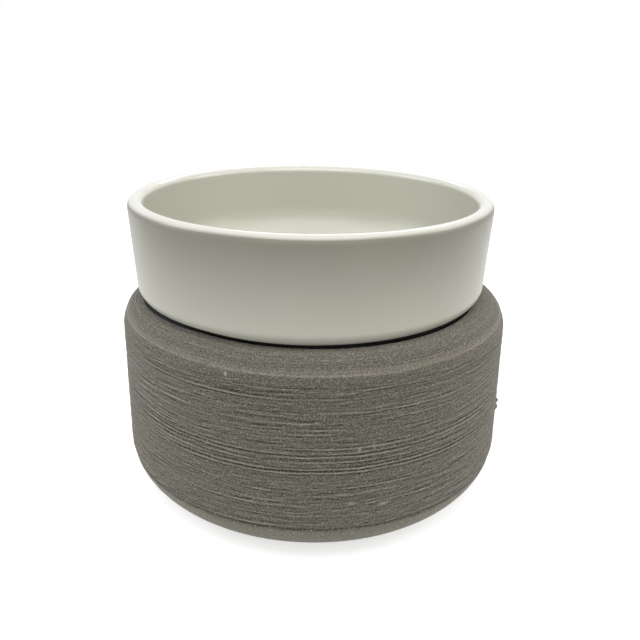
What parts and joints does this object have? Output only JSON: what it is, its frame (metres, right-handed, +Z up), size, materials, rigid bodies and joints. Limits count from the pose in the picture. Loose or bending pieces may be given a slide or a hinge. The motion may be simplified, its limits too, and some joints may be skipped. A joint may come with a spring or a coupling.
{
  "type": "essential oil burner",
  "caption": "Round electric oil and wax warmer: a white glazed dish rests on a heating plate in a grey combed stoneware base, and lifts off.",
  "frame": {"origin": "on the table, under the middle of the base", "axes": "+Z up along the base's axis; -Y is the front seen in the picture, and the cord inlet is at the back on +Y; +X is to the viewer's right"},
  "size_m": [0.1362, 0.1361, 0.102],
  "materials": {
    "white_glaze": "satin off-white glaze",
    "grey_stoneware": "unglazed, gritty, combed in rings",
    "black_coated_aluminium": "turned, with a black non-stick coat",
    "dark_silicone": "matt",
    "grey_silicone": "matt",
    "mica": "pressed sheet",
    "resistance_alloy": "rolled ribbon",
    "ceramic_fibre": "felted board",
    "zinc_steel": "zinc plated",
    "bright_steel": "bright rolled sheet",
    "fuse_can": "drawn can",
    "glass_fibre": "braided sleeve",
    "tinned_copper": "tinned, crimped",
    "wire_insulation": "silicone on glass braid",
    "porcelain": "unglazed porcelain",
    "brass": "turned",
    "black_phenolic": "moulded",
    "black_nylon": "moulded"
  },
  "bodies": {
    "base": {"base_shell": "grey_stoneware", "heating_plate": "black_coated_aluminium", "plate_gasket": "dark_silicone", "upper_mica_sheet": "mica", "heating_ribbon": "resistance_alloy", "element_card": "mica", "lower_mica_sheet": "mica", "insulation_pad": "ceramic_fibre", "clamp_plate": "zinc_steel", "tie_rods": "zinc_steel", "clamp_washers": "zinc_steel", "clamp_nuts": "zinc_steel", "rod_spacers": "zinc_steel", "heat_shield": "bright_steel", "shield_grommet": "dark_silicone", "shield_nuts": "zinc_steel", "thermal_fuse": "fuse_can", "fuse_sleeve": "glass_fibre", "fuse_clip": "zinc_steel", "clip_screw": "zinc_steel", "fuse_crimps": "tinned_copper", "element_leads": "wire_insulation", "terminal_block": "porcelain", "terminal_tubes": "brass", "terminal_screws": "zinc_steel", "block_screw": "zinc_steel", "bottom_cover": "black_phenolic", "cover_washers": "zinc_steel", "cover_nuts": "zinc_steel", "feet": "grey_silicone", "cord_bushing": "black_nylon", "bushing_nut": "black_nylon"},
    "dish": {"dish": "white_glaze"}
  },
  "joints": [
    {"name": "dish_lift", "type": "slide", "parent": "base", "child": "dish", "axis": [0, 0, 1], "range_m": [0, 0.06]}
  ]
}
